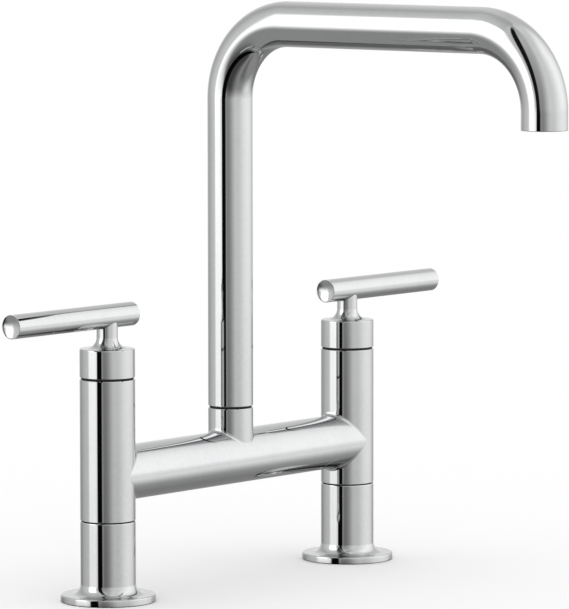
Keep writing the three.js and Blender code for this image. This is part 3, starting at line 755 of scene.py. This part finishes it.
def fillet_section(turn, branch_radius, main_radius):
    """A loop of points: the concave arc between the contacts, closed behind inside the tubes."""
    ball, main_normal, outward = rolling_ball(turn, branch_radius, main_radius)
    opening = math.acos(main_normal.dot(outward))
    section = [ball - main_normal * (tee_fillet + sunk)]
    for step in range(fillet_steps + 1):
        share = step / fillet_steps
        direction = main_normal * math.sin((1 - share) * opening) + outward * math.sin(share * opening)
        section.append(ball - direction.normalized() * tee_fillet)
    section.append(ball - outward * (tee_fillet + sunk))
    inner = outward * (branch_radius - sunk)
    inner.z = math.sqrt((main_radius - sunk) ** 2 - inner.y ** 2)
    return section + [inner]


def fillet_band(name, branch_radius, main_radius, turned):
    """The closed band round a branch that stands on a tube along X, then turned into place."""
    sections = [fillet_section(2 * math.pi * i / fine_sides, branch_radius, main_radius)
                for i in range(fine_sides)]
    count = len(sections[0])
    places = [turned @ place for section in sections for place in section]
    faces = []
    for i in range(fine_sides):
        this, following = i * count, (i + 1) % fine_sides * count
        for j in range(count):
            after = (j + 1) % count
            faces.append((this + j, this + after, following + after, following + j))
    mesh = bpy.data.meshes.new(name)
    mesh.from_pydata(places, [], faces)
    piece = bpy.data.objects.new(name, mesh)
    scene.collection.objects.link(piece)
    make_active(piece)
    bpy.ops.object.mode_set(mode="EDIT")
    bpy.ops.mesh.select_all(action="SELECT")
    bpy.ops.mesh.normals_make_consistent(inside=False)
    bpy.ops.object.mode_set(mode="OBJECT")
    return piece


# %% The solids that make the body, each with the formula of its own surface
# A boolean leaves slivers along every cut, and chrome would show them as ripples. So each solid
# carries a number, and after the booleans each face takes its normals from its own formula.
bridge_middle = Vector((0, 0, bridge_axis))
tee_turns = {side: Matrix.Translation((side * valve_axis, 0, bridge_axis))
             @ Matrix.Rotation(-side * math.pi / 2, 4, "Y") for side in (-1, 1)}
socket_place = Matrix.Translation(bridge_middle)


def column_normal(side):
    return lambda place: Vector((place.x - side * valve_axis, place.y, 0))


def fillet_normal(turned, branch_radius, main_radius):
    back = turned.inverted()

    def normal(place):
        local = back @ place
        ball = rolling_ball(math.atan2(local.y, local.x), branch_radius, main_radius)[0]
        return turned.to_3x3() @ (ball - local)
    return normal


def valve_body(side):
    return spun("valve_body", (
        (0, body_bottom),
        (column_radius, body_bottom, joint_edge),
        (column_radius, body_top, shoulder_edge),
        (0, body_top),
    ), origin=valve_origin(side))


solids = [
    (valve_body(-1), column_normal(-1)),
    (valve_body(1), column_normal(1)),
    (rod("bridge_tube", bridge_radius, -valve_axis, valve_axis,
         origin=bridge_middle, along=right_axis, out=up_axis),
     lambda place: Vector((0, place.y, place.z - bridge_axis))),
    (spun("socket", ((0, bridge_axis), (spout_radius, bridge_axis), (spout_radius, socket_top, shoulder_edge),
                     (0, socket_top))),
     lambda place: Vector((place.x, place.y, 0))),
    (fillet_band("left_tee", bridge_radius, column_radius, tee_turns[-1]),
     fillet_normal(tee_turns[-1], bridge_radius, column_radius)),
    (fillet_band("right_tee", bridge_radius, column_radius, tee_turns[1]),
     fillet_normal(tee_turns[1], bridge_radius, column_radius)),
    (fillet_band("socket_tee", spout_radius, bridge_radius, socket_place),
     fillet_normal(socket_place, spout_radius, bridge_radius)),
]
for number, (solid, _) in enumerate(solids, start=1):
    mark = solid.data.attributes.new("surface", "INT", "FACE")
    mark.data.foreach_set("value", [number] * len(solid.data.polygons))
print("Solids of the body:", [solid.name for solid, _ in solids])

# %% Bores, as cutters
shank_top = shank_high.z
seat_thickness = 3.0 * mm
valve_wall = 3.5 * mm
shank_gap = 0.3 * mm
seat_bottom = shank_top + shank_gap
seat_top = seat_bottom + seat_thickness
chamber_radius = column_radius - valve_wall
past = 0.5 * mm
socket_bore = 10.5 * mm
spout_screw_low, spout_screw_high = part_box("spout_set_screw")
screw_height = (spout_screw_low.z + spout_screw_high.z) / 2
screw_hole = 2.3 * mm
screw_hole_length = 14 * mm
seat_port = 5.0 * mm


def valve_bores(side):
    return spun("valve_bores", (
        (0, body_bottom - past),
        (shank_radius + shank_gap, body_bottom - past),
        (shank_radius + shank_gap, seat_bottom),
        (seat_port, seat_bottom),
        (seat_port, seat_top),
        (chamber_radius, seat_top),
        (chamber_radius, body_top - seam_edge),
        (chamber_radius + seam_edge + past, body_top + past),
        (0, body_top + past),
    ), origin=valve_origin(side), sides=coarse_sides)


bridge_wall = 2.0 * mm
bore_end = valve_axis - chamber_radius / 2
bridge_bore = bridge_radius - bridge_wall
cutters = [
    rod("bridge_bore", bridge_bore, -bore_end, bore_end,
        origin=bridge_middle, along=right_axis, out=up_axis, sides=coarse_sides),
    valve_bores(-1),
    valve_bores(1),
    rod("socket_bore", socket_bore, bridge_axis, socket_top + past, sides=coarse_sides),
    rod("screw_hole", screw_hole, 0, screw_hole_length,
        origin=up_axis * screw_height, along=back_axis, out=right_axis, sides=hole_sides),
]

# %% Join and cut
def boolean(piece, other, operation):
    use_modifier(piece, "BOOLEAN", object=other, operation=operation, solver="MANIFOLD")
    bpy.data.objects.remove(other, do_unlink=True)


body = solids[0][0]
for solid, _ in solids[1:]:
    boolean(body, solid, "UNION")
for cutter in cutters:
    boolean(body, cutter, "DIFFERENCE")
body.name = "bridge_and_valve_bodies"
marks = body.data.attributes["surface"].data
print("Faces of each surface:", {n: sum(m.value == n for m in marks) for n in range(len(solids) + 1)})

# %% Normals from the formulas, and flat ones everywhere else
# A face keeps its formula only where the formula agrees with it: the ends and edges of each
# solid have its number too, and they stay flat.
least_agreement = math.cos(math.radians(12))


def formula_normals(piece):
    mesh = piece.data
    normals = [Vector()] * len(mesh.loops)
    for face in mesh.polygons:
        number = mesh.attributes["surface"].data[face.index].value
        formula = solids[number - 1][1] if number else None
        smooth = formula and formula(face.center).normalized().dot(face.normal) > least_agreement
        for loop in face.loop_indices:
            place = mesh.vertices[mesh.loops[loop].vertex_index].co
            normals[loop] = formula(place).normalized() if smooth else face.normal.copy()
    mesh.shade_smooth()
    mesh.normals_split_custom_set(normals)
    mesh.attributes.remove(mesh.attributes["surface"])


formula_normals(body)
finish_piece(body, chrome, "chrome", "base", "bridge_body")

# %% [markdown]
# ## Handles
#
# A handle is a cap that turns on the valve body, a trumpet-shaped neck and a lever bar. Cap and
# neck are one turned piece. The neck's end is cut to a saddle that fits the bar.

# %% Cap and neck
hub_height = 15.2 * mm
hub_top = hub_bottom + hub_height
hub_edge = 0.6 * mm
cap_edge = 0.25 * mm
neck_radius = 5.65 * mm
neck_fillet = 6.0 * mm
skirt_wall = 3.0 * mm
skirt_depth = 3.5 * mm
skirt_radius = column_radius - skirt_wall
skirt_top = hub_bottom + skirt_depth
stem_hole = 5.35 * mm
stem_gap = 0.3 * mm
stem_hole_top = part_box("left_cartridge_stem")[1].z + stem_gap
hairline = 0.03 * mm
handle_screw_low, handle_screw_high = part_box("left_handle_set_screw")
handle_screw_height = (handle_screw_low.z + handle_screw_high.z) / 2
handle_screw_hole = 2.8 * mm

for side_name, side in sides_of_faucet:
    origin = valve_origin(side)
    hub = spun(f"{side_name}_cap_and_neck", (
        (skirt_radius, hub_bottom),
        (column_radius, hub_bottom, cap_edge),
        (column_radius, hub_top, hub_edge),
        (neck_radius, hub_top, neck_fillet),
        (neck_radius, bar_axis),
        (0, bar_axis),
        (0, stem_hole_top),
        (stem_hole, stem_hole_top),
        (stem_hole, skirt_top),
        (skirt_radius, skirt_top),
    ), origin=origin)
    reach = column_radius
    bar_space = bar_radius + hairline
    saddle = rod("saddle", bar_space, -reach, reach,
                 origin=origin + up_axis * bar_axis, along=right_axis, out=up_axis)
    boolean(hub, saddle, "DIFFERENCE")
    hole = rod("hole", handle_screw_hole, 0, reach + past, origin=origin + up_axis * handle_screw_height,
               along=back_axis, out=right_axis, sides=hole_sides)
    boolean(hub, hole, "DIFFERENCE")
    shade(hub)
    finish_piece(hub, chrome, "chrome", f"{side_name}_handle", f"{side_name}_handle_hub")

# %% [markdown]
# The lever bar is a rod with dished ends. Each end has a thin rim round a shallow dish. The dish
# is an arc that is almost flat in the middle, and a tighter arc steepens it towards the rim.

# %% Lever bars
bar_edge = 0.12 * mm
bar_rim = 0.04 * mm
dish_margin = 0.9 * mm
dish_inner = bar_radius - dish_margin
dish_slope = math.radians(19)
lip_slope = math.radians(52)
dish_steps = 12
lip_steps = 8
rim_inner = bar_radius - bar_edge - bar_rim
dish_radius = dish_inner / math.sin(dish_slope)
lip_radius = (rim_inner - dish_inner) / (math.sin(lip_slope) - math.sin(dish_slope))


def arc(radius, start, end, steps):
    """Steps along an arc from one slope to another, as distances outwards and towards the end."""
    slopes = [start + (end - start) * step / steps for step in range(steps + 1)]
    return [(radius * (math.sin(slope) - math.sin(start)), radius * (math.cos(start) - math.cos(slope)))
            for slope in slopes]


def dish(end, inward):
    """Corners of a dished end, from the axis to the rim. Inward is 1 at the low end."""
    middle = arc(dish_radius, 0, dish_slope, dish_steps)
    out, rise = middle[-1]
    lip = [(out + more, rise + higher) for more, higher in arc(lip_radius, dish_slope, lip_slope, lip_steps)]
    depth = lip[-1][1]
    return [(radius, end + inward * (depth - height)) for radius, height in middle + lip[1:]]


for side_name, side in sides_of_faucet:
    low, high = (corner.x - side * valve_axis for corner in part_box(f"{side_name}_handle_bar"))
    bar = spun(f"{side_name}_lever_bar", (
        *dish(low, 1),
        (bar_radius, low, bar_edge),
        (bar_radius, high, bar_edge),
        *reversed(dish(high, -1)),
    ), origin=valve_origin(side) + up_axis * bar_axis, along=right_axis, out=up_axis)
    shade(bar)
    finish_piece(bar, chrome, "chrome", f"{side_name}_handle", f"{side_name}_handle_bar")

# %% [markdown]
# ## The spout
#
# The spout is one tube, bent twice on a mandrel. It is modelled the same way: a circle is drawn
# up the riser by an extrusion, carried round the first corner by a quarter spin, extruded along
# the level run, spun round the second corner and extruded down to the outlet. A curve with a
# bevel could make a tube too, but its bends wouldn't be true arcs. Solidify gives it a wall.

# %% Bending the tube
spout_sides = 160
bend_steps = 48
bend_radius = 41.3 * mm
spout_wall = 1.5 * mm
spout_edge = 0.35 * mm
spout_edge_steps = 3
run_axis = cad_high.z - spout_radius
bend_start = run_axis - bend_radius
aerator_recess = 0.8 * mm
outlet_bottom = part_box("aerator_housing")[0].z - aerator_recess
spout_reach = -outlet_axis
quarter = math.pi / 2


def draw_on(distance):
    bpy.ops.mesh.extrude_region_move(TRANSFORM_OT_translate={"value": distance})


def bend_on(centre):
    """A quarter spin of the selected ring. Spin turns against the axis, so the axis is -X."""
    bpy.ops.mesh.spin(steps=bend_steps, angle=quarter, center=centre, axis=(-1, 0, 0))


bpy.ops.object.select_all(action="DESELECT")
bpy.ops.mesh.primitive_circle_add(vertices=spout_sides, radius=spout_radius, location=(0, 0, spout_bottom))
spout = bpy.context.object
spout.name = "bent_spout_tube"
bpy.ops.object.mode_set(mode="EDIT")
bpy.ops.mesh.select_all(action="SELECT")
draw_on(up_axis * (bend_start - spout_bottom))
bend_on((0, -bend_radius, bend_start))
draw_on(-back_axis * (spout_reach - 2 * bend_radius))
bend_on((0, bend_radius - spout_reach, bend_start))
draw_on(up_axis * (outlet_bottom - bend_start))
bpy.ops.mesh.select_all(action="SELECT")
bpy.ops.mesh.normals_make_consistent(inside=False)
bpy.ops.object.mode_set(mode="OBJECT")
apply_place(spout)
use_modifier(spout, "SOLIDIFY", thickness=spout_wall, offset=-1, use_even_offset=True)

# %% Rounding the tube's two ends
def at_an_end(place):
    at_seam = abs(place.z - spout_bottom) < same_place
    at_outlet = abs(place.z - outlet_bottom) < same_place and place.y < -bend_radius
    return at_seam or at_outlet


bpy.ops.object.mode_set(mode="EDIT")
bpy.ops.mesh.select_mode(type="EDGE")
bpy.ops.mesh.select_all(action="DESELECT")
bpy.ops.object.mode_set(mode="OBJECT")
for edge in spout.data.edges:
    first, second = (spout.data.vertices[i].co for i in edge.vertices)
    centre_y = 0 if first.z == spout_bottom or first.y > -bend_radius else outlet_axis
    radii = [math.hypot(place.x, place.y - centre_y) for place in (first, second)]
    edge.select = at_an_end(first) and at_an_end(second) and abs(radii[0] - radii[1]) < spout_edge
bpy.ops.object.mode_set(mode="EDIT")
bpy.ops.mesh.bevel(affect="EDGES", offset=spout_edge, segments=spout_edge_steps, clamp_overlap=False)
bpy.ops.object.mode_set(mode="OBJECT")
shade(spout)
finish_piece(spout, chrome, "chrome", "spout", "spout_tube")

# %% [markdown]
# ## Hardware under the deck
#
# Below the flange a threaded shank goes through the deck, and a rubber washer, a steel washer
# and a flanged nut clamp it. The thread is a zigzag as high as one turn, which the Screw
# modifier winds up the shank. The shank's ends are then cut square with bisect, and an outline
# with chamfers trims it by a boolean.

# %% Threaded shank
thread_pitch = 1.814 * mm
thread_depth = 0.9 * mm
thread_flat = 0.12
thread_steps = 56
shank_wall = 3.6 * mm
shank_bore = shank_radius - shank_wall
shank_bottom = shank_low.z


def threaded_rod(name, origin, bottom, top):
    turns = math.ceil((top - bottom) / thread_pitch) + 2
    start = bottom - thread_pitch
    root, crest = shank_radius - thread_depth, shank_radius
    zigzag = ((root, 0), (root, thread_flat), (crest, 0.5 - thread_flat / 2),
              (crest, 0.5 + thread_flat / 2), (root, 1))
    places = [right_axis * radius + up_axis * height * thread_pitch for radius, height in zigzag]
    thread = draw_outline(name, places, closed=False)
    use_modifier(thread, "SCREW", axis="Z", screw_offset=thread_pitch, iterations=turns,
                 steps=thread_steps, render_steps=thread_steps, use_merge_vertices=True)
    thread.data.transform(Matrix.Translation(origin + up_axis * start))
    bpy.ops.object.mode_set(mode="EDIT")
    for height, direction in ((bottom, -1), (top, 1)):
        bpy.ops.mesh.select_all(action="SELECT")
        bpy.ops.mesh.bisect(plane_co=up_axis * height, plane_no=up_axis * direction, use_fill=True,
                            clear_outer=True, threshold=merge_distance)
    clean_mesh()
    return thread


for side_name, side in sides_of_faucet:
    origin = valve_origin(side)
    shank = threaded_rod(f"{side_name}_threaded_shank", origin, shank_bottom, shank_top)
    sleeve = spun("sleeve", (
        (shank_bore, shank_bottom - past),
        (shank_radius - thread_depth - past, shank_bottom - past),
        (shank_radius + past, shank_bottom + thread_depth + past),
        (shank_radius + past, shank_top - thread_depth - past),
        (shank_radius - thread_depth - past, shank_top + past),
        (shank_bore, shank_top + past),
    ), origin=origin, sides=coarse_sides)
    boolean(shank, sleeve, "INTERSECT")
    shade(shank)
    shank.visible_glossy = False
    finish_piece(shank, valve_brass, "brass", "base", f"{side_name}_mounting_shank")

# %% [markdown]
# Nuts are turned and milled, so the nut starts as a hexagonal prism, a turned envelope takes off
# its corners, and the round foot is joined on.

# %% Nut and washers
nut_low, nut_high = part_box("left_mounting_nut")
nut_foot = (nut_high.x - nut_low.x) / 2
hexagon = 6
nut_flats = 32.2 * mm
nut_corner = nut_flats / 2 / math.cos(math.pi / hexagon)
nut_chamfer = 1.1 * mm
nut_bore = shank_radius + shank_gap
nut_foot_height = 2.0 * mm
washer_edge = 0.5 * mm
steel_edge = 0.25 * mm

for side_name, side in sides_of_faucet:
    origin = valve_origin(side)
    bpy.ops.object.select_all(action="DESELECT")
    bpy.ops.mesh.primitive_cylinder_add(vertices=hexagon, radius=nut_corner, depth=nut_high.z - nut_low.z,
                                        location=origin + up_axis * (nut_high.z + nut_low.z) / 2)
    nut = bpy.context.object
    nut.name = f"{side_name}_flanged_nut"
    apply_place(nut)
    envelope = spun("envelope", (
        (0, nut_low.z - past),
        (nut_flats / 2 - past, nut_low.z - past),
        (nut_corner + past, nut_low.z + nut_chamfer),
        (nut_corner + past, nut_high.z + past),
        (0, nut_high.z + past),
    ), origin=origin, sides=coarse_sides)
    boolean(nut, envelope, "INTERSECT")
    foot = spun("foot", (
        (0, nut_high.z - nut_foot_height),
        (nut_foot, nut_high.z - nut_foot_height, steel_edge),
        (nut_foot, nut_high.z, steel_edge),
        (0, nut_high.z),
    ), origin=origin, sides=coarse_sides)
    boolean(nut, foot, "UNION")
    bore = spun("bore", (
        (0, nut_low.z - past),
        (nut_bore + 2 * past, nut_low.z - past),
        (nut_bore, nut_low.z + past),
        (nut_bore, nut_high.z - past),
        (nut_bore + 2 * past, nut_high.z + past),
        (0, nut_high.z + past),
    ), origin=origin, sides=coarse_sides)
    boolean(nut, bore, "DIFFERENCE")
    shade(nut)
    finish_piece(nut, valve_brass, "brass", "base", f"{side_name}_mounting_nut")

    washers = (
        ("rubber_deck_washer", "rubber_washer", shank_hole, washer_edge, rubber, "rubber"),
        ("steel_deck_washer", "metal_washer", shank_hole, steel_edge, valve_steel, "steel"),
        ("flange_seal", "flange_gasket", gasket_inner, steel_edge, rubber, "rubber"),
    )
    for name, replaced, inner, edge, material, slot in washers:
        low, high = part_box(f"left_{replaced}")
        washer = ring(f"{side_name}_{name}", inner, (high.x - low.x) / 2, low.z, high.z, edge, origin)
        shade(washer)
        washer.visible_glossy = False
        finish_piece(washer, material, slot, "base", f"{side_name}_{replaced}")
    nut.visible_glossy = False

# %% [markdown]
# ## Screws
#
# A grub screw holds each handle on its stem and the spout in its socket. They sit in holes at
# the back, a little below the surface, and show a hexagon socket.

# %% Grub screws
socket_share = 0.55
socket_depth = 2.0 * mm
screw_chamfer = 0.35 * mm
screw_sides = 64


def grub_screw(name, replaced, body_name, material):
    low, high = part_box(replaced)
    centre = Vector(((low.x + high.x) / 2, 0, (low.z + high.z) / 2))
    radius = (high.x - low.x) / 2
    screw = spun(name, (
        (0, low.y + screw_chamfer),
        (radius / 2, low.y + screw_chamfer),
        (radius - screw_chamfer * 2, low.y),
        (radius, low.y + screw_chamfer * 2),
        (radius, high.y - screw_chamfer),
        (radius - screw_chamfer, high.y),
        (0, high.y),
    ), origin=centre, along=back_axis, out=right_axis, sides=screw_sides)
    bpy.ops.object.select_all(action="DESELECT")
    bpy.ops.mesh.primitive_cylinder_add(
        vertices=hexagon, radius=radius * socket_share / math.cos(math.pi / hexagon), depth=2 * socket_depth,
        location=centre + back_axis * high.y, rotation=(quarter, 0, 0))
    key = bpy.context.object
    apply_place(key)
    boolean(screw, key, "DIFFERENCE")
    shade(screw)
    finish_piece(screw, material, "steel", body_name, replaced)


grub_screw("left_handle_grub_screw", "left_handle_set_screw", "left_handle", valve_steel)
grub_screw("right_handle_grub_screw", "right_handle_set_screw", "right_handle", valve_steel)
grub_screw("spout_grub_screw", "spout_set_screw", "base", spout_steel)

# %% [markdown]
# ## Aerator
#
# The aerator sits inside the outlet: a moulded housing with four key slots, and a perforated
# screen whose holes stand in hexagonal rings.

# %% Aerator housing, washer and screen
housing_low, housing_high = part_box("aerator_housing")
washer_low, washer_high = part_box("aerator_washer")
outlet_origin = Vector((0, outlet_axis, 0))
housing_outer = (housing_high.x - housing_low.x) / 2
housing_wall = 1.9 * mm
lip_width = 1.0 * mm
lip_thickness = 1.2 * mm
housing_inner = housing_outer - housing_wall
housing_lip = housing_inner - lip_width
lip_top = housing_low.z + lip_thickness
housing = spun("aerator_cage", (
    (housing_lip, housing_low.z, steel_edge),
    (housing_outer, housing_low.z, steel_edge),
    (housing_outer, housing_high.z),
    (housing_inner, housing_high.z),
    (housing_inner, lip_top),
    (housing_lip, lip_top, steel_edge),
), origin=outlet_origin, sides=coarse_sides)
slot_length = 3 * housing_outer
slot_width = 2.0 * mm
slot_depth = 0.8 * mm
for turn_x, turn_y in ((1, 0), (0, 1)):
    bpy.ops.object.select_all(action="DESELECT")
    bpy.ops.mesh.primitive_cube_add(size=1, location=outlet_origin + up_axis * housing_low.z, scale=(
        slot_width if turn_y else slot_length,
        slot_width if turn_x else slot_length,
        2 * slot_depth,
    ))
    key_slot = bpy.context.object
    apply_place(key_slot)
    boolean(housing, key_slot, "DIFFERENCE")
shade(housing)
finish_piece(housing, acetal, "acetal", "spout", "aerator_housing")

aerator_seal = ring("aerator_seal", housing_inner, housing_outer, washer_low.z, washer_high.z, steel_edge,
                    outlet_origin)
shade(aerator_seal)
finish_piece(aerator_seal, rubber, "rubber", "spout", "aerator_washer")

screen_radius = (outlet_high.x - outlet_low.x) / 2
screen = spun("perforated_screen", (
    (0, outlet_low.z),
    (screen_radius, outlet_low.z, steel_edge),
    (screen_radius, outlet_high.z, steel_edge),
    (0, outlet_high.z),
), origin=outlet_origin, sides=coarse_sides)
hole_radius = 1.1 * mm
hole_pitch = 3.1 * mm
hole_rings = 2
drill_length = 6 * mm
hole_steps = 32
bpy.ops.object.select_all(action="DESELECT")
holes = []
for row in range(-hole_rings, hole_rings + 1):
    in_row = 2 * hole_rings + 1 - abs(row)
    for place in range(in_row):
        across = (place - (in_row - 1) / 2) * hole_pitch
        ahead = row * hole_pitch * math.sin(math.pi / 3)
        bpy.ops.mesh.primitive_cylinder_add(vertices=hole_steps, radius=hole_radius, depth=drill_length,
                                            location=(across, outlet_axis + ahead, outlet_low.z))
        holes.append(bpy.context.object)
for hole in holes:
    hole.select_set(True)
bpy.ops.object.join()
drills = bpy.context.object
apply_place(drills)
boolean(screen, drills, "DIFFERENCE")
shade(screen)
finish_piece(screen, spout_steel, "steel", "spout", "aerator_screen")

# %% [markdown]
# ## Glide rings
#
# The spout and both caps turn on thin plastic rings. Each ring lies inside an open seam, a
# little back from the metal, and fills the seam's height, so that no light comes through.

# %% Glide rings
ring_edge = 0.1 * mm


def glide_ring(name, replaced, bore, seam_bottom, seam_top, body_name, origin=Vector()):
    low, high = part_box(replaced)
    outer = (high.x - low.x) / 2
    glide = spun(name, (
        (bore, seam_bottom + hairline),
        (outer, seam_bottom + hairline, ring_edge),
        (outer, seam_top - hairline, ring_edge),
        (bore, seam_top - hairline),
    ), origin=origin, sides=coarse_sides)
    shade(glide)
    finish_piece(glide, acetal, "acetal", body_name, replaced)


glide_ring("swivel_ring", "spout_glide_ring", socket_bore, socket_top, spout_bottom, "spout")
for side_name, side in sides_of_faucet:
    glide_ring(f"{side_name}_cap_ring", f"{side_name}_handle_glide_ring", skirt_radius, body_top,
               hub_bottom, f"{side_name}_handle", valve_origin(side))

# %% [markdown]
# ## Inner pieces
#
# The valve cartridges, the spout's spigot and their seals are inside the closed bodies. Their
# CAD nodes have the right shapes, so they stay and only get their finishes.

# %% Finishes of the CAD nodes that stay
slot_finishes = {"brass": valve_brass, "ceramic": ceramic, "rubber": rubber}
slots = {part["node"]: part["material_slot"] for part in frame["record"]["subparts"]}
kept = [name for name in nodes if not nodes[name].hide_render]
for name in kept:
    finish = slot_finishes[slots[name]]
    if finish == valve_brass and nodes[name]["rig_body"] == "spout":
        finish = spout_brass
    nodes[name].data.materials.clear()
    nodes[name].data.materials.append(finish)
print("CAD nodes shown:", sorted(kept))

# %% [markdown]
# ## Sizes to compare
#
# The box of what is shown now is printed, to set beside the CAD model's box that was printed at
# the start, to see that nothing has grown.

# %% Print the sizes
low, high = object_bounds()
print("Shown from", tuple(low), "to", tuple(high))
